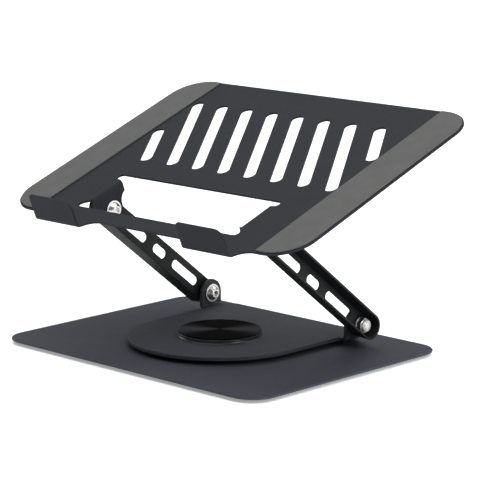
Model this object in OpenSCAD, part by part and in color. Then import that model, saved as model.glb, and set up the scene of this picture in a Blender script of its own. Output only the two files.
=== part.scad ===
// Swivel laptop stand: a slotted tilting tray on two channel arms over a turning base.
// Origin: centre of the base on the table surface, on the swivel axis. +X width, +Z up, -Y front.

/* [Base] */
// Width of the base plate
base_w = 250; // [200:1:320]
// Depth of the base plate
base_d = 193; // [160:1:260]
// Thickness of the base plate
base_t = 1.7; // [1.5:0.1:5]
// Corner radius of the base plate
base_r = 19; // [8:1:35]
// Diameter of each rubber foot
foot_d = 22; // [12:1:35]
// Thickness of each rubber foot
foot_t = 2.3; // [1:0.1:4]

/* [Swivel] */
// Thickness of the nylon glide ring under the turntable
glide_t = 3; // [2:0.1:5]
// Outer diameter of the nylon glide ring
glide_d = 98; // [60:1:110]
// Diameter of the fixed swivel post
post_d = 24; // [16:1:34]
// Sheet thickness of the turntable
turn_t = 2.8; // [2:0.1:4]
// Distance from the swivel axis to the rear edge of the turntable
turn_rear = 79; // [72:1:92]
// Running clearance of the swivel post, on the radius
swivel_fit = 0.05; // [0.02:0.01:0.1]

/* [Hub] */
// Outer radius of the hub ring
hub_r = 29.8; // [27:0.2:40]
// Radius of the hub cap
cap_r = 29.6; // [26:0.2:38]
// Height of the hub above the turntable
hub_h = 4.1; // [4:0.1:12]

/* [Arms] */
// Distance from the centre plane to the inner face of each turntable ear
ear_x = 70; // [60:0.5:90]
// Radius of the rounded top of each ear
ear_r = 10.2; // [8:0.1:14]
// Distance of the lower pivots behind the swivel axis
pivot_y = 62.7; // [50:0.1:70]
// Height of the lower pivot washers over the ear bend
pivot_gap = 0.85; // [0.3:0.05:5]
// Length of each arm between its pivots
arm_len = 124; // [90:1:160]
// Angle of the arms above level
arm_angle = 37.9; // [15:0.1:70]
// Width of each arm across its two flanges
arm_w = 16.4; // [16:0.1:26]
// Depth of each arm channel
arm_depth = 12.5; // [9.5:0.1:18]
// How far each flange leans outward at its free edge
arm_flare = 1; // [0.5:0.1:2.5]
// Sheet thickness of the arms
arm_t = 1.6; // [1.2:0.1:3]
// Width of the slots in the arms
arm_slot_w = 7; // [4:0.1:9]
// Centre length of the two long arm slots
arm_slot_l = 25; // [10:0.5:32]
// Centre length of the short middle arm slot
arm_slot_m = 8.5; // [2:0.5:12]

/* [Pivots] */
// Diameter of the pivot screws
bolt_d = 6; // [4:0.5:7]
// Diameter of the screw heads
head_d = 11; // [9:0.1:14]
// Height of the screw heads
head_h = 3.3; // [2:0.1:5]
// Diameter of the washers under the heads
washer_d = 13.5; // [11:0.1:18]
// Thickness of the washers under the heads
washer_t = 1.2; // [0.6:0.1:2]
// Diameter of the nylon friction washers
friction_d = 15.6; // [12:0.1:20]
// Thickness of the friction washers at the ears
friction_t = 2; // [0.6:0.1:3]
// Thickness of the friction washers at the tray
friction_up = 1.8; // [0.6:0.1:3]
// Diameter of the spring washers
spring_d = 11.6; // [9:0.1:12]
// Height of the spring washer stack
spring_t = 1.6; // [1:0.1:3]
// Width of the lock nuts across their flats
nut_af = 10; // [8:0.1:10.4]
// Running clearance of the pivot screws, on the radius
pivot_fit = 0.05; // [0.02:0.01:0.1]

/* [Tray] */
// Width of the tray
tray_w = 278; // [240:1:340]
// Depth of the tray
tray_d = 203.5; // [170:0.5:260]
// Sheet thickness of the tray
tray_t = 1.4; // [1.2:0.1:3]
// Corner radius of the tray
tray_r = 26; // [10:1:40]
// Tilt of the tray, rising to the rear
tray_tilt = 20.6; // [0:0.1:35]
// Distance of the upper pivots behind the front edge of the tray
tray_pv = 39.4; // [36:0.1:50]
// Distance of the upper pivots below the top of the tray
tray_pw = 16.2; // [14:0.1:24]
// Depth of the strip in front of the opening
strip_d = 14; // [10:0.5:22]
// Front to rear size of the opening in the tray
open_d = 47.5; // [40:0.5:60]
// Width of the long slots in the tray
slot_w = 9.2; // [5:0.1:12]
// Slant of the slots from the front to rear line
slot_slant = 31.5; // [0:0.5:40]
// Width of each lip
lip_w = 42.5; // [25:0.5:55]
// Height of the lips above the tray
lip_h = 19.5; // [10:0.5:30]
// Reach of the lips in front of the tray
lip_reach = 11; // [5:0.5:14]

/* [Pads] */
// Width of each side pad
pad_w = 30.5; // [15:0.5:40]
// Thickness of each side pad
pad_t = 1.2; // [0.6:0.1:3]
// Margin of the side pads from the tray edge
pad_edge = 1; // [0.5:0.1:5]
// Thickness of the lip pads
lip_pad_t = 1; // [0.5:0.1:2]

/* [Hidden] */

$fn = 96;
slate = [0.27, 0.29, 0.32];
black = [0.10, 0.10, 0.11];
grey = [0.42, 0.42, 0.42];
steel = [0.78, 0.78, 0.76];
nylon = [0.12, 0.12, 0.12];

base_z = foot_t;
base_top = base_z + base_t;
turn_z = base_top + glide_t;
turn_top = turn_z + turn_t;
bend_r = 1.5;
turn_r = ear_x - 4.3;
ear_out = ear_x + turn_t;
web_x = ear_out + friction_t;
pivot_z = turn_top + bend_r + washer_d / 2 + pivot_gap;
up_y = pivot_y - arm_len * cos(arm_angle);
up_z = pivot_z + arm_len * sin(arm_angle);
flange_out = web_x - friction_up;
flange_in = flange_out - tray_t;
nut_x = web_x + arm_t + spring_t;
nut_hex = 3.4;
nut_collar = 1.8;
bolt_end = nut_x + nut_hex + nut_collar + 0.3;
post_r = post_d / 2;
keep_z = turn_top + 0.4;
keep_t = 1.4;
keep_r = post_r + 7;
cap_t = 1.2;
ring_in = hub_r - 5.4;
tray_bend = 1.5;
flange_r = 9.6;
pad_in = tray_w / 2 - pad_edge - pad_w;
field = pad_in - 7;
slot_v0 = strip_d + open_d + 26;
slot_v1 = tray_d - 36;
slot_dx = (slot_v1 - slot_v0) * tan(slot_slant);
slot_pitch = (2 * field - slot_dx) / 6;
short_dv = 0.45 * (slot_v1 - slot_v0);
lip_x = 0.2617 * tray_w;
lip_bend = 2;

// Flat rounded rectangle centred on x, from y0 over depth d
module rounded(w, y0, d, r) {
    for (s = [-1, 1])
        for (y = [y0 + r, y0 + d - r])
            translate([s * (w / 2 - r), y])
                circle(r);
    translate([-w / 2 + r, y0])
        square([w - 2 * r, d]);
    translate([-w / 2, y0 + r])
        square([w, d - 2 * r]);
}

// Flat slot with round ends between two points
module slot(a, b, w) {
    l = norm(b - a);
    translate(a)
        rotate(atan2(b[1] - a[1], b[0] - a[0])) {
            translate([0, -w / 2])
                square([l, w]);
            circle(w / 2);
            translate([l, 0])
                circle(w / 2);
        }
}

// Places a y-z outline as a slab from x0 to x1
module slab(x0, x1) {
    translate([x0, 0, 0])
        rotate([90, 0, 90])
            linear_extrude(x1 - x0)
                children();
}

module side(s) {
    if (s > 0) children();
    else mirror([1, 0, 0]) children();
}

module at_low() {
    translate([0, pivot_y, pivot_z])
        children();
}

module at_up() {
    translate([0, up_y, up_z])
        children();
}

// Turns a part so its own z runs along +x
module along_x(x) {
    translate([x, 0, 0])
        rotate([0, 90, 0])
            children();
}

// Tray frame: origin on the top face at the front edge, y back along the tray
module on_tray() {
    translate([0, up_y, up_z])
        rotate([tray_tilt, 0, 0])
            translate([0, -tray_pv, tray_pw])
                children();
}

// ---------- base ----------
module base_plate() {
    color(slate)
        translate([0, 0, base_z])
            linear_extrude(base_t)
                difference() {
                    rounded(base_w, -base_d / 2, base_d, base_r);
                    circle(5);
                }
}

module foot_pad(sx, sy) {
    color(nylon)
        translate([sx * (base_w / 2 - 25), sy * (base_d / 2 - 22), 0])
            cylinder(h = foot_t, d = foot_d);
}

module foot_pad_fl() { foot_pad(-1, -1); }
module foot_pad_fr() { foot_pad(1, -1); }
module foot_pad_rl() { foot_pad(-1, 1); }
module foot_pad_rr() { foot_pad(1, 1); }

// Middle foot, also covering the riveted end of the swivel post
module foot_pad_mid() {
    color(nylon)
        difference() {
            cylinder(h = foot_t, d = 2 * foot_d);
            translate([0, 0, foot_t - 0.8])
                cylinder(h = 2, r = 7.5);
        }
}

module swivel_post() {
    color(steel)
        difference() {
            union() {
                translate([0, 0, base_top])
                    cylinder(h = keep_z - base_top, r = post_r);
                translate([0, 0, base_z])
                    cylinder(h = base_t, r = 5);
                translate([0, 0, base_z - 0.8])
                    cylinder(h = 0.8, r = 7.5);
            }
            translate([0, 0, base_top + 1])
                cylinder(h = keep_z, r = 2.5);
        }
}

module glide_ring() {
    color(nylon)
        translate([0, 0, base_top])
            difference() {
                cylinder(h = glide_t, d = glide_d);
                translate([0, 0, -1])
                    cylinder(h = glide_t + 2, r = post_r);
            }
}

module keeper_washer() {
    color(nylon)
        translate([0, 0, turn_top])
            difference() {
                cylinder(h = keep_z - turn_top, r = keep_r);
                translate([0, 0, -1])
                    cylinder(h = 3, r = post_r);
            }
}

module keeper_disc() {
    color(steel)
        translate([0, 0, keep_z])
            difference() {
                cylinder(h = keep_t, r = keep_r);
                translate([0, 0, -1])
                    cylinder(h = keep_t + 2, r = 2.5);
            }
}

module centre_screw() {
    color(steel)
        difference() {
            union() {
                translate([0, 0, base_top + 1.5])
                    cylinder(h = keep_z + keep_t - base_top - 1.5, r = 2.5);
                translate([0, 0, keep_z + keep_t])
                    cylinder(h = 0.8, r1 = 4.9, r2 = 4.5);
            }
            translate([0, 0, keep_z + keep_t])
                cylinder(h = 2, r = 1.8, $fn = 6);
        }
}

// ---------- turntable ----------
module turn_outline() {
    y0 = pivot_y - ear_r;
    y1 = pivot_y + ear_r;
    flat = ear_x - bend_r;
    f = flat - turn_r;
    difference() {
        union() {
            circle(turn_r);
            translate([-turn_r, 0])
                square([2 * turn_r, turn_rear - 8]);
            rounded(2 * turn_r, turn_rear - 20, 20, 8);
            translate([-flat, y0 - f])
                square([2 * flat, y1 - y0 + f]);
        }
        for (s = [-1, 1])
            translate([s * flat, y0 - f])
                circle(f);
    }
}

module ear_section() {
    c = [ear_x - bend_r, turn_top + bend_r];
    ro = bend_r + turn_t;
    intersection() {
        translate(c)
            difference() {
                circle(ro);
                circle(bend_r);
            }
        translate([c[0], c[1] - ro])
            square([ro, ro]);
    }
    translate([ear_x, c[1]])
        square([turn_t, pivot_z + ear_r - c[1]]);
}

module ear() {
    intersection() {
        translate([0, pivot_y + ear_r, 0])
            rotate([90, 0, 0])
                linear_extrude(2 * ear_r)
                    ear_section();
        slab(0, ear_out + 5)
            union() {
                translate([pivot_y, pivot_z])
                    circle(ear_r);
                translate([pivot_y - ear_r, turn_z - 1])
                    square([2 * ear_r, pivot_z - turn_z + 1]);
            }
    }
}

module turntable_plate() {
    color(slate)
        difference() {
            union() {
                translate([0, 0, turn_z])
                    linear_extrude(turn_t)
                        turn_outline();
                ear();
                mirror([1, 0, 0])
                    ear();
            }
            translate([0, 0, turn_z - 1])
                cylinder(h = turn_t + 2, r = post_r + swivel_fit);
            at_low()
                rotate([0, 90, 0])
                    cylinder(h = 4 * ear_x, r = bolt_d / 2, center = true);
        }
}

module hub_ring() {
    z0 = turn_top;
    z1 = turn_top + hub_h - cap_t;
    color(slate)
        rotate_extrude()
            difference() {
                union() {
                    translate([ring_in, z0])
                        square([hub_r - ring_in - 0.4, z1 - z0]);
                    translate([ring_in, z0])
                        square([hub_r - ring_in, z1 - z0 - 0.4]);
                    translate([hub_r - 0.4, z1 - 0.4])
                        circle(0.4);
                    translate([hub_r - 0.1, z0])
                        square([1.6, 1.5]);
                }
                translate([hub_r + 1.5, z0 + 1.5])
                    circle(1.5);
            }
}

module hub_cap() {
    z0 = turn_top + hub_h - cap_t;
    color(black)
        difference() {
            union() {
                translate([0, 0, z0])
                    cylinder(h = cap_t, r = cap_r);
                translate([0, 0, z0 - 1.2])
                    cylinder(h = 1.3, r = ring_in);
            }
            translate([0, 0, z0 - 2])
                cylinder(h = 2, r = ring_in - 1.8);
            difference() {
                translate([0, 0, z0 + cap_t - 0.4])
                    cylinder(h = 1, r = cap_r + 1);
                translate([0, 0, z0 + cap_t - 0.4 - 1])
                    cylinder(h = 1.4, r1 = cap_r + 1, r2 = cap_r - 0.4);
            }
        }
}

// ---------- arms ----------
module arm_slots() {
    e = (arm_len - 2 * arm_slot_l - arm_slot_m) / 4 + 0.55;
    for (x = [e, arm_len - e - arm_slot_l])
        slot([x, 0], [x + arm_slot_l, 0], arm_slot_w);
    slot([arm_len / 2 - arm_slot_m / 2, 0], [arm_len / 2 + arm_slot_m / 2, 0], arm_slot_w);
}

// Channel body: half width r0 at x0, spreading to r1 at x1, with round ends
module channel(x0, x1, r0, r1) {
    for (y = [0, arm_len])
        translate([x0, y, 0])
            rotate([0, 90, 0])
                cylinder(h = x1 - x0, r1 = r0, r2 = r1);
    translate([0, arm_len, 0])
        rotate([90, 0, 0])
            linear_extrude(arm_len)
                polygon([[x0, -r0], [x1, -r1], [x1, r1], [x0, r0]]);
}

module arm() {
    h = arm_w / 2;
    k = arm_flare / arm_depth;
    color(black)
        at_low()
            rotate([180 - arm_angle, 0, 0])
                mirror([0, 0, 1])
                    difference() {
                        channel(web_x, web_x + arm_depth, h, h + arm_flare);
                        channel(web_x + arm_t, web_x + arm_depth + 1, h + k * arm_t - arm_t, h + k * (arm_depth + 1) - arm_t);
                        slab(web_x - 1, web_x + arm_t + 1)
                            arm_slots();
                        for (y = [0, arm_len])
                            translate([web_x - 1, y, 0])
                                rotate([0, 90, 0])
                                    cylinder(h = arm_t + 2, r = bolt_d / 2 + pivot_fit);
                    }
}

module right_arm() { arm(); }
module left_arm() { mirror([1, 0, 0]) arm(); }

// ---------- pivot hardware ----------
// Button head screw: x is the bearing face of its head, pointing outward
module screw(x) {
    c = (head_d * head_d / 4 - 9 - head_h * head_h) / (2 * head_h);
    rs = sqrt(head_d * head_d / 4 + c * c);
    color(steel)
        along_x(x)
            difference() {
                union() {
                    cylinder(h = bolt_end - x, d = bolt_d);
                    intersection() {
                        translate([0, 0, c])
                            sphere(rs);
                        translate([0, 0, -head_h])
                            cylinder(h = head_h, d = head_d + 1);
                    }
                }
                translate([0, 0, -head_h - 1])
                    cylinder(h = 3, r = 2.31, $fn = 6);
            }
}

module ring(x, t, d, bore) {
    along_x(x)
        difference() {
            cylinder(h = t, d = d);
            translate([0, 0, -1])
                cylinder(h = t + 2, d = bore);
        }
}

// Two cupped spring washers, face to face
module spring() {
    a = spring_t * 0.28;
    r0 = bolt_d / 2;
    r1 = spring_d / 2;
    color(steel)
        along_x(web_x + arm_t)
            rotate_extrude()
                union() {
                    polygon([[r0, 0], [r1, spring_t / 2 - a], [r1, spring_t / 2], [r0, a]]);
                    polygon([[r0, spring_t - a], [r1, spring_t / 2 - 0.1], [r1, spring_t / 2 + a], [r0, spring_t]]);
                }
}

module nut() {
    color(steel)
        along_x(nut_x)
            difference() {
                union() {
                    intersection() {
                        cylinder(h = nut_hex, r = nut_af / sqrt(3), $fn = 6);
                        cylinder(h = nut_hex + 0.1, r1 = nut_af * 0.7, r2 = nut_af * 0.53);
                    }
                    cylinder(h = nut_hex + nut_collar - 0.4, r = nut_af * 0.44);
                    cylinder(h = nut_hex + nut_collar, r = nut_af * 0.44 - 0.4);
                }
                translate([0, 0, -1])
                    cylinder(h = 20, d = bolt_d);
            }
}

module lower_screw_r() { at_low() screw(ear_x - washer_t); }
module lower_screw_l() { mirror([1, 0, 0]) lower_screw_r(); }
module lower_washer_r() { color(steel) at_low() ring(ear_x - washer_t, washer_t, washer_d, bolt_d); }
module lower_washer_l() { mirror([1, 0, 0]) lower_washer_r(); }
module lower_friction_r() { color(nylon) at_low() ring(ear_out, friction_t, friction_d, bolt_d); }
module lower_friction_l() { mirror([1, 0, 0]) lower_friction_r(); }
module lower_spring_r() { at_low() spring(); }
module lower_spring_l() { mirror([1, 0, 0]) lower_spring_r(); }
module lower_nut_r() { at_low() nut(); }
module lower_nut_l() { mirror([1, 0, 0]) lower_nut_r(); }

module upper_screw_r() { at_up() screw(flange_in - washer_t); }
module upper_screw_l() { mirror([1, 0, 0]) upper_screw_r(); }
module upper_washer_r() { color(steel) at_up() ring(flange_in - washer_t, washer_t, washer_d, bolt_d); }
module upper_washer_l() { mirror([1, 0, 0]) upper_washer_r(); }
module upper_friction_r() { color(nylon) at_up() ring(flange_out, friction_up, friction_d, bolt_d); }
module upper_friction_l() { mirror([1, 0, 0]) upper_friction_r(); }
module upper_spring_r() { at_up() spring(); }
module upper_spring_l() { mirror([1, 0, 0]) upper_spring_r(); }
module upper_nut_r() { at_up() nut(); }
module upper_nut_l() { mirror([1, 0, 0]) upper_nut_r(); }

// ---------- tray ----------
// Outline of the opening with its round end notches
module tray_opening() {
    v0 = strip_d;
    v1 = strip_d + open_d;
    n = 3.4;
    translate([-flange_in, v0])
        square([2 * flange_in, open_d]);
    for (s = [-1, 1]) {
        slot([s * (flange_in - 4), v0 + n], [s * (flange_in + 2.6), v0 + n], 2 * n);
        slot([s * (flange_in - 4), v1 - n], [s * (flange_in + 3.6), v1 - n], 2 * n);
        polygon([[s * (flange_in - 1), v0 + n], [s * (flange_in + 5), v0 + 2 * n - 1],
            [s * flange_in, v0 + 10.5], [s * (flange_in - 1), v0 + 10.5]]);
    }
}

module tray_slots() {
    for (i = [0 : 6])
        slot([-field + i * slot_pitch, slot_v1], [-field + i * slot_pitch + slot_dx, slot_v0], slot_w);
    slot([-field, slot_v0 + short_dv], [-field + short_dv * tan(slot_slant), slot_v0], slot_w);
    slot([field, slot_v1 - short_dv], [field - short_dv * tan(slot_slant), slot_v1], slot_w);
}

// Bent section of a lip, in front-back and up
module lip_section() {
    ro = lip_bend + tray_t;
    c = [-lip_reach + ro, lip_bend];
    intersection() {
        translate(c)
            difference() {
                circle(ro);
                circle(lip_bend);
            }
        translate([c[0] - ro, c[1] - ro])
            square([ro, ro]);
    }
    translate([c[0], -tray_t])
        square([-c[0] + 1, tray_t]);
    translate([-lip_reach, c[1]])
        square([tray_t, lip_h - c[1]]);
}

// Front view of a lip: one small and one large top corner
module lip_front() {
    r0 = 2.2;
    r1 = 7.5;
    w = lip_w / 2;
    translate([-w, -tray_t - 1])
        square([lip_w, lip_h + tray_t + 1 - r1]);
    translate([-w + r0, -tray_t - 1])
        square([lip_w - r0 - r1, lip_h + tray_t + 1]);
    translate([-w, 0])
        square([lip_w - r1, lip_h - r0]);
    translate([-w + r0, lip_h - r0])
        circle(r0);
    translate([w - r1, lip_h - r1])
        circle(r1);
}

// Plan of a lip root flaring into the front edge of the tray
module lip_plan() {
    w = lip_w / 2;
    r = lip_reach + 3;
    o = sqrt(r * r - 9);
    difference() {
        translate([-w - o, -lip_reach])
            square([lip_w + 2 * o, lip_reach + 1]);
        for (s = [-1, 1])
            translate([s * (w + o - 0.6), -r])
                circle(r);
    }
}

module lip(x) {
    translate([x, 0, 0])
        union() {
            intersection() {
                slab(-lip_w / 2 - 1, lip_w / 2 + 1)
                    lip_section();
                translate([0, 2, 0])
                    rotate([90, 0, 0])
                        linear_extrude(lip_reach + 4)
                            lip_front();
            }
            intersection() {
                slab(-lip_w / 2 - 20, lip_w / 2 + 20)
                    lip_section();
                translate([0, 0, -tray_t - 1])
                    linear_extrude(tray_t + 1 + lip_bend)
                        lip_plan();
            }
        }
}

// Side flange bent down beside the opening, around the upper pivot
module flange_outline() {
    v0 = strip_d + 10.5;
    v1 = strip_d + open_d - 6.8;
    translate([tray_pv, -tray_pw])
        circle(flange_r);
    difference() {
        translate([v0, -tray_pw])
            square([v1 - v0, tray_pw]);
        translate([tray_pv - flange_r - 8, -tray_pw])
            circle(8);
        translate([tray_pv + flange_r + 8, -tray_pw])
            circle(8);
    }
}

module tray_flange() {
    ro = tray_bend + tray_t;
    c = [flange_in + ro, -ro];
    v0 = strip_d + 10.5;
    v1 = strip_d + open_d - 6.8;
    intersection() {
        slab(flange_in, flange_in + ro)
            flange_outline();
        translate([0, v1, 0])
            rotate([90, 0, 0])
                linear_extrude(v1 - v0)
                    union() {
                        intersection() {
                            translate(c)
                                difference() {
                                    circle(ro);
                                    circle(tray_bend);
                                }
                            translate([flange_in, -ro])
                                square([ro, ro]);
                        }
                        translate([flange_in, -tray_pw - flange_r - 1])
                            square([tray_t, tray_pw + flange_r + 1 - ro]);
                    }
    }
}

module tray_sheet() {
    ro = tray_bend + tray_t;
    v0 = strip_d + 10.5;
    v1 = strip_d + open_d - 6.8;
    translate([0, 0, -tray_t])
        linear_extrude(tray_t)
            difference() {
                rounded(tray_w, 0, tray_d, tray_r);
                tray_opening();
                tray_slots();
                for (s = [0, 1])
                    mirror([s, 0])
                        translate([flange_in - 1, v0])
                            square([ro + 1, v1 - v0]);
            }
}

module tray_plate() {
    color(slate)
        on_tray()
            difference() {
                union() {
                    tray_sheet();
                    lip(lip_x);
                    lip(-lip_x);
                    tray_flange();
                    mirror([1, 0, 0])
                        tray_flange();
                }
                translate([0, tray_pv, -tray_pw])
                    rotate([0, 90, 0])
                        cylinder(h = 4 * ear_x, r = bolt_d / 2 + pivot_fit, center = true);
            }
}

module side_pad_r() {
    color(grey)
        on_tray()
            linear_extrude(pad_t)
                intersection() {
                    rounded(tray_w - 2 * pad_edge, pad_edge, tray_d - 2 * pad_edge, tray_r - pad_edge);
                    translate([pad_in, 0])
                        square([pad_w, tray_d]);
                }
}

module side_pad_l() { mirror([1, 0, 0]) side_pad_r(); }

module lip_pad(x) {
    color(grey)
        on_tray()
            translate([x, -lip_reach + tray_t + lip_pad_t, 0])
                rotate([90, 0, 0])
                    linear_extrude(lip_pad_t)
                        rounded(lip_w - 10, lip_bend + 1.5, lip_h - lip_bend - 5, 3);
}

module lip_pad_r() { lip_pad(lip_x - 1); }
module lip_pad_l() { lip_pad(-lip_x - 1); }

base_plate();
foot_pad_fl();
foot_pad_fr();
foot_pad_rl();
foot_pad_rr();
foot_pad_mid();
swivel_post();
glide_ring();
keeper_washer();
keeper_disc();
centre_screw();
turntable_plate();
hub_ring();
hub_cap();
left_arm();
right_arm();
lower_screw_l();
lower_screw_r();
lower_washer_l();
lower_washer_r();
lower_friction_l();
lower_friction_r();
lower_spring_l();
lower_spring_r();
lower_nut_l();
lower_nut_r();
upper_screw_l();
upper_screw_r();
upper_washer_l();
upper_washer_r();
upper_friction_l();
upper_friction_r();
upper_spring_l();
upper_spring_r();
upper_nut_l();
upper_nut_r();
tray_plate();
side_pad_l();
side_pad_r();
lip_pad_l();
lip_pad_r();
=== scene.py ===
import math

import bpy
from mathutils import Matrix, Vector


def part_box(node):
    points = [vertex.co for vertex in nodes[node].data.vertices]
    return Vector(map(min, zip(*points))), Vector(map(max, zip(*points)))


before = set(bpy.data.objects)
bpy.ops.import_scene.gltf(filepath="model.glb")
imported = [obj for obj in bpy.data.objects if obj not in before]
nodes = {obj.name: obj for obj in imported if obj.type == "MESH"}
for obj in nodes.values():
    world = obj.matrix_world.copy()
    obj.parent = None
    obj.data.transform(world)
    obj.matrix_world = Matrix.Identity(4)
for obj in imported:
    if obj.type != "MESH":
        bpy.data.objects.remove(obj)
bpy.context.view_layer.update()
scene = bpy.context.scene


# ---------- camera ----------
CAM_AZIMUTH = math.radians(43.911)    # from the front, towards the right
CAM_ELEVATION = math.radians(11.454)
CAM_DISTANCE = 1.64043                # metres
CAM_LENS = 173.745                    # millimetres
CAM_SENSOR = 36
AIM_RIGHT, AIM_UP = 0.014152, 0.072491    # aim, from the centre of the base plate's top


def camera():
    az, el = CAM_AZIMUTH, CAM_ELEVATION
    back = Vector((math.sin(az) * math.cos(el), -math.cos(az) * math.cos(el), math.sin(el)))
    right = Vector((math.cos(az), math.sin(az), 0))
    up = back.cross(right)
    base_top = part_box("base_plate")[1].z
    aim = right * AIM_RIGHT + up * AIM_UP + Vector((0, 0, base_top))
    cam = bpy.data.objects.new("camera", bpy.data.cameras.new("camera"))
    scene.collection.objects.link(cam)
    cam.data.lens = CAM_LENS
    cam.data.sensor_width = CAM_SENSOR
    cam.data.clip_start, cam.data.clip_end = 0.1, 20
    cam.location = aim + back * CAM_DISTANCE
    cam.rotation_mode = "QUATERNION"
    cam.rotation_quaternion = (-back).to_track_quat("-Z", "Y")
    scene.camera = cam


camera()


# ---------- node helpers ----------
EDGE_DARK_WIDTH = 0.0009    # width of the darkened band on edges and creases, metres


class Nodes:
    def __init__(self, name):
        self.mat = bpy.data.materials.new(name)
        self.mat.use_nodes = True
        self.t = self.mat.node_tree
        self.t.nodes.clear()
        self.out = self.add("ShaderNodeOutputMaterial")
        self.bsdf = self.add("ShaderNodeBsdfPrincipled")
        self.t.links.new(self.bsdf.outputs[0], self.out.inputs[0])
        self.pos = self.add("ShaderNodeTexCoord").outputs["Object"]

    def add(self, kind, **props):
        n = self.t.nodes.new(kind)
        for k, v in props.items():
            setattr(n, k, v)
        return n

    def put(self, socket, value):
        if isinstance(value, bpy.types.NodeSocket):
            self.t.links.new(value, socket)
        elif value is not None:
            socket.default_value = value

    def noise(self, scale, detail=2.0, rough=0.5):
        n = self.add("ShaderNodeTexNoise")
        self.put(n.inputs["Vector"], self.pos)
        n.inputs["Scale"].default_value = scale
        n.inputs["Detail"].default_value = detail
        n.inputs["Roughness"].default_value = rough
        return n.outputs["Fac"]

    def math(self, op, a, b=None):
        n = self.add("ShaderNodeMath", operation=op)
        self.put(n.inputs[0], a)
        self.put(n.inputs[1], b)
        return n.outputs[0]

    def span(self, fac, a0, a1, b0, b1):
        """Maps a0..a1 to b0..b1, clamped"""
        n = self.add("ShaderNodeMapRange")
        self.put(n.inputs["Value"], fac)
        for k, v in zip(("From Min", "From Max", "To Min", "To Max"), (a0, a1, b0, b1)):
            n.inputs[k].default_value = v
        return n.outputs[0]

    def mix(self, fac, a, b):
        n = self.add("ShaderNodeMix", data_type="RGBA")
        self.put(n.inputs[0], fac)
        self.put(n.inputs[6], a)
        self.put(n.inputs[7], b)
        return n.outputs[2]

    def bump(self, height, strength, distance, under=None):
        n = self.add("ShaderNodeBump")
        self.put(n.inputs["Height"], height)
        n.inputs["Strength"].default_value = strength
        n.inputs["Distance"].default_value = distance
        self.put(n.inputs["Normal"], under)
        return n.outputs[0]

    def vector(self, op, a, b=None):
        n = self.add("ShaderNodeVectorMath", operation=op)
        self.put(n.inputs[0], a)
        self.put(n.inputs[1], b)
        return n.outputs["Value" if op in ("LENGTH", "DOT_PRODUCT") else "Vector"]

    def rings(self, radius, per_metre, detail):
        """Noise that changes only with the distance from an axis"""
        n = self.add("ShaderNodeTexNoise", noise_dimensions="1D")
        self.put(n.inputs["W"], self.math("MULTIPLY", radius, per_metre))
        n.inputs["Scale"].default_value = 1.0
        n.inputs["Detail"].default_value = detail
        return n.outputs["Fac"]

    def set(self, **values):
        """Constant values on the shader's own sockets, _ for a space in the name"""
        for k, v in values.items():
            self.bsdf.inputs[k.replace("_", " ")].default_value = v

    def edges(self):
        """1 on edges, 0 on flats"""
        bev = self.add("ShaderNodeBevel", samples=4)
        bev.inputs["Radius"].default_value = EDGE_DARK_WIDTH
        geo = self.add("ShaderNodeNewGeometry")
        same = self.vector("DOT_PRODUCT", bev.outputs[0], geo.outputs["Normal"])
        return self.span(same, 0.97, 0.75, 0.0, 1.0)


def rgb(r, g, b):
    return (r, g, b, 1.0)


def scaled(c, k):
    return (c[0] * k, c[1] * k, c[2] * k, 1.0)


# ---------- materials ----------
def powder(name, colour, rough, spec, edge_darkness=0.8):
    """Powder coat: fine orange peel, faint cloudy tone, specks, darker along edges and creases
    (painted shade in the creases)
    """
    m = Nodes(name)
    cloud = m.noise(14.0, 3.0, 0.55)
    speck = m.noise(5200.0, 1.0, 0.5)
    tone = m.mix(m.span(cloud, 0.3, 0.7, 0.0, 1.0), scaled(colour, 0.90), scaled(colour, 1.08))
    tone = m.mix(m.span(speck, 0.55, 0.75, 0.0, 0.6), tone, scaled(colour, 1.9))
    patch_noise = m.noise(60.0, 5.0, 0.65)
    # darker band along edges and inner creases, broken up by noise; in the creases it is painted
    # shade
    edge_and_crease_dark = m.math("MULTIPLY", m.edges(), m.span(patch_noise, 0.35, 0.6, 0.2, 1.0))
    tone = m.mix(m.math("MULTIPLY", edge_and_crease_dark, edge_darkness), tone, scaled(colour, 0.35))
    m.put(m.bsdf.inputs["Base Color"], tone)
    blotch = m.math("ADD", m.math("MULTIPLY", cloud, 0.5), m.math("MULTIPLY", patch_noise, 0.5))
    m.put(m.bsdf.inputs["Roughness"], m.span(blotch, 0.3, 0.7, rough - 0.05, rough + 0.05))
    peel = m.bump(m.noise(1500.0, 2.0, 0.5), 0.8, 0.00008)
    m.put(m.bsdf.inputs["Normal"], m.bump(m.noise(4650.0, 1.0, 0.5), 0.4, 0.00003, peel))
    m.set(IOR=1.5, Specular_IOR_Level=spec)
    return m.mat


def silicone(name, colour):
    """Soft grip strip with a fine pebble and dusty tone"""
    m = Nodes(name)
    dust = m.noise(35.0, 5.0, 0.6)
    tone = m.mix(m.span(dust, 0.35, 0.7, 0.0, 1.0), scaled(colour, 0.95), scaled(colour, 1.06))
    m.put(m.bsdf.inputs["Base Color"], tone)
    m.put(m.bsdf.inputs["Roughness"], m.span(m.noise(90.0, 3.0), 0.3, 0.7, 0.72, 0.84))
    vor = m.add("ShaderNodeTexVoronoi", feature="SMOOTH_F1")
    m.put(vor.inputs["Vector"], m.pos)
    vor.inputs["Scale"].default_value = 1400.0
    n1 = m.bump(vor.outputs["Distance"], 0.4, 0.00008)
    m.put(m.bsdf.inputs["Normal"], m.bump(m.noise(3000.0, 1.0), 0.2, 0.00003, n1))
    return m.mat


def plastic(name, colour, rough):
    """Moulded nylon: slightly mottled tone and roughness"""
    m = Nodes(name)
    cloud = m.noise(80.0, 4.0, 0.6)
    m.put(m.bsdf.inputs["Base Color"], m.mix(cloud, scaled(colour, 0.85), scaled(colour, 1.15)))
    m.put(m.bsdf.inputs["Roughness"], m.span(cloud, 0.3, 0.7, rough - 0.06, rough + 0.06))
    m.put(m.bsdf.inputs["Normal"], m.bump(m.noise(2500.0, 2.0), 0.3, 0.00003))
    return m.mat


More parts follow.
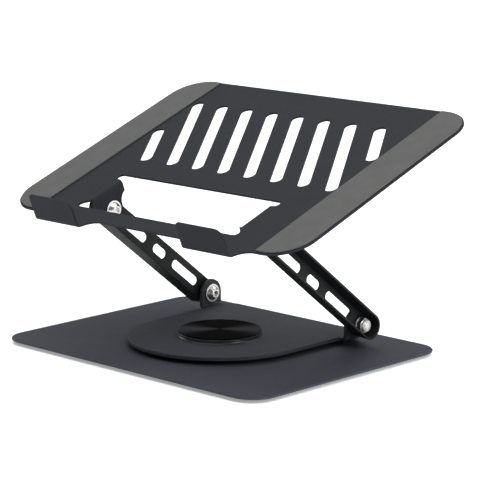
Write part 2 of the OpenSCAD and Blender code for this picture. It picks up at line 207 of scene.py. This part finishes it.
def spun(name, colour, rough, across, centre, pitch, depth):
    """Turned metal: fine rings about an axis, slight tone change from ring to ring.
    across is 1 in the two directions that are square to the axis"""
    m = Nodes(name)
    radius = m.vector("LENGTH", m.vector("MULTIPLY", m.vector("SUBTRACT", m.pos, centre), across))
    ring = m.rings(radius, pitch, 3.0)
    broad = m.rings(radius, pitch * 0.12, 2.0)
    m.put(m.bsdf.inputs["Base Color"], m.mix(broad, scaled(colour, 0.75), scaled(colour, 1.25)))
    smudge = m.noise(45.0, 4.0, 0.6)
    m.put(m.bsdf.inputs["Roughness"], m.span(smudge, 0.3, 0.75, rough - 0.04, rough + 0.06))
    m.put(m.bsdf.inputs["Normal"], m.bump(ring, 1.0, depth))
    m.set(Metallic=1.0)
    return m.mat


def turned_cap(name, colour):
    """Black cap turned on a lathe: concentric rings, with a painted highlight:
    two lighter sectors painted into the tone where the lathe marks would catch light"""
    m = Nodes(name)
    flat = m.vector("MULTIPLY", m.pos, (1, 1, 0))
    ring = m.rings(m.vector("LENGTH", flat), 4200.0, 3.0)
    along = m.vector("DOT_PRODUCT", m.vector("NORMALIZE", flat), PAINTED_HIGHLIGHT_DIRECTION)
    # painted highlight: two opposite narrow sectors of the cap, centred on this direction
    painted_highlight_mask = m.math("POWER", m.math("ABSOLUTE", along), 9.0)
    dark = m.mix(ring, scaled(colour, 0.6), scaled(colour, 1.3))
    # painted highlight tone, 7 to 15 times the cap's own colour
    light = m.mix(ring, scaled(colour, 7.0), scaled(colour, 15.0))
    m.put(m.bsdf.inputs["Base Color"], m.mix(painted_highlight_mask, dark, light))
    m.put(m.bsdf.inputs["Roughness"], m.span(m.noise(45.0, 4.0, 0.6), 0.3, 0.75, 0.34, 0.44))
    m.put(m.bsdf.inputs["Normal"], m.bump(ring, 1.0, 0.00005))
    m.set(Specular_IOR_Level=0.1, IOR=1.06)
    return m.mat


PAINTED_HIGHLIGHT_DIRECTION = (0.72, 0.69, 0)    # of the cap's painted highlight sectors, in plan
slate_base = powder("slate_base", rgb(0.040, 0.0435, 0.058), 0.56, 0.24)
slate_turn = powder("slate_turntable", rgb(0.033, 0.036, 0.0455), 0.54, 0.24)
slate_tray = powder("slate_tray", rgb(0.0165, 0.0185, 0.0240), 0.60, 0.12, edge_darkness=0.3)
arm_black = powder("arm_black", rgb(0.0098, 0.0107, 0.0118), 0.48, 0.2)
ring_mat = powder("hub_ring_black", rgb(0.010, 0.0105, 0.012), 0.32, 0.5)
pad_grey = silicone("grip_silicone", rgb(0.080, 0.0795, 0.079))
lip_grey = silicone("lip_silicone", rgb(0.085, 0.084, 0.083))
foot_mat = silicone("foot_rubber", rgb(0.012, 0.012, 0.012))
nylon_mat = plastic("black_nylon", rgb(0.012, 0.012, 0.013), 0.45)
cap_mat = turned_cap("cap_turned_black", rgb(0.0045, 0.0045, 0.005))


def pivot_of(name):
    """Centre of a part of a pivot, on the stand's middle plane"""
    lo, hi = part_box(name)
    return (0.0, (lo.y + hi.y) / 2, (lo.z + hi.z) / 2)


def pivot_steel(name, washer):
    return spun(name, rgb(0.72, 0.71, 0.70), 0.30, (0, 1, 1), pivot_of(washer), 9000.0, 0.000012)


steel_low = pivot_steel("stainless_low", "lower_washer_r")
steel_up = pivot_steel("stainless_up", "upper_washer_r")
steel_mid = spun("stainless_mid", rgb(0.5, 0.5, 0.49), 0.28, (1, 1, 0), (0, 0, 0), 5200.0, 0.00002)


# the first start of a node's name that fits decides
MATERIALS = (
    ("foot", foot_mat), ("side_pad", pad_grey), ("lip_pad", lip_grey),
    ("left_arm", arm_black), ("right_arm", arm_black),
    ("hub_cap", cap_mat), ("hub_ring", ring_mat),
    ("base_plate", slate_base), ("turntable_plate", slate_turn), ("tray_plate", slate_tray),
    ("lower_friction", nylon_mat), ("upper_friction", nylon_mat),
    ("glide_ring", nylon_mat), ("keeper_washer", nylon_mat),
    ("lower", steel_low), ("upper", steel_up), ("", steel_mid),
)


def material_for(n):
    return next(mat for start, mat in MATERIALS if n.startswith(start))


# ---------- rounded edges ----------
# bevel widths in metres; the other parts get SMALL_EDGE
EDGE = {
    "base_plate": 0.0007, "turntable_plate": 0.0012, "tray_plate": 0.0005,
    "left_arm": 0.0006, "right_arm": 0.0006, "side_pad_l": 0.0004, "side_pad_r": 0.0004,
    "hub_cap": 0.0002, "hub_ring": 0.00025,
}
SMALL_EDGE = 0.00015
WELD = 0.000002
FLAT_ANGLE, BEVEL_ANGLE = math.radians(0.5), math.radians(40)


def dress(n, ob):
    """Material, smooth shading and small rounded edges for a CAD node"""
    for p in ob.data.polygons:
        p.use_smooth = True
    ob.data.materials.clear()
    ob.data.materials.append(material_for(n))
    w = ob.modifiers.new("weld", "WELD")
    w.merge_threshold = WELD
    d = ob.modifiers.new("flat", "DECIMATE")
    d.decimate_type = "DISSOLVE"
    d.angle_limit = FLAT_ANGLE
    b = ob.modifiers.new("edge", "BEVEL")
    b.width = EDGE.get(n, SMALL_EDGE)
    b.segments = 3 if n in EDGE else 2
    b.limit_method = "ANGLE"
    b.angle_limit = BEVEL_ANGLE
    b.miter_outer = "MITER_ARC"
    b.use_clamp_overlap = True
    wn = ob.modifiers.new("normals", "WEIGHTED_NORMAL")
    wn.weight = 80
    wn.keep_sharp = False


for name, ob in nodes.items():
    dress(name, ob)


# ---------- studio ----------
FLOOR_HALF = 6.0      # metres
FLOOR_GLOW = 0.3      # lifts the shadow under the base
SKY = 0.17


def floor():
    me = bpy.data.meshes.new("floor")
    s = FLOOR_HALF
    me.from_pydata([(-s, -s, 0), (s, -s, 0), (s, s, 0), (-s, s, 0)], [], [(0, 1, 2, 3)])
    ob = bpy.data.objects.new("floor", me)
    scene.collection.objects.link(ob)
    m = Nodes("floor_white")
    white = m.mix(m.noise(3.0, 2.0), rgb(0.93, 0.93, 0.93), rgb(0.95, 0.95, 0.95))
    m.put(m.bsdf.inputs["Base Color"], white)
    m.set(Roughness=0.9, Emission_Color=(1, 1, 1, 1), Emission_Strength=FLOOR_GLOW)
    me.materials.append(m.mat)


def lamp(name, kind, power, direction):
    light = bpy.data.lights.new(name, kind)
    light.energy = power
    ob = bpy.data.objects.new(name, light)
    scene.collection.objects.link(ob)
    ob.rotation_mode = "QUATERNION"
    ob.rotation_quaternion = Vector(direction).to_track_quat("-Z", "Y")
    return ob


def area(name, at, width, height, power):
    """A soft box aimed at the hub"""
    ob = lamp(name, "AREA", power, Vector((0, 0, 0.03)) - Vector(at))
    ob.location = at
    ob.data.shape = "RECTANGLE"
    ob.data.size, ob.data.size_y = width, height


floor()
lamp("sun", "SUN", 3.1, (0.05, -0.15, -1)).data.angle = math.radians(90)
area("left", (-1.3, -0.2, 0.5), 0.35, 1.0, 3)
area("right", (1.3, 0.1, 0.6), 0.5, 1.2, 9)
world = bpy.data.worlds.new("studio")
scene.world = world
world.use_nodes = True
bg = world.node_tree.nodes["Background"]
bg.inputs[0].default_value = (1, 1, 1, 1)
bg.inputs[1].default_value = SKY
scene.view_settings.view_transform = "Standard"
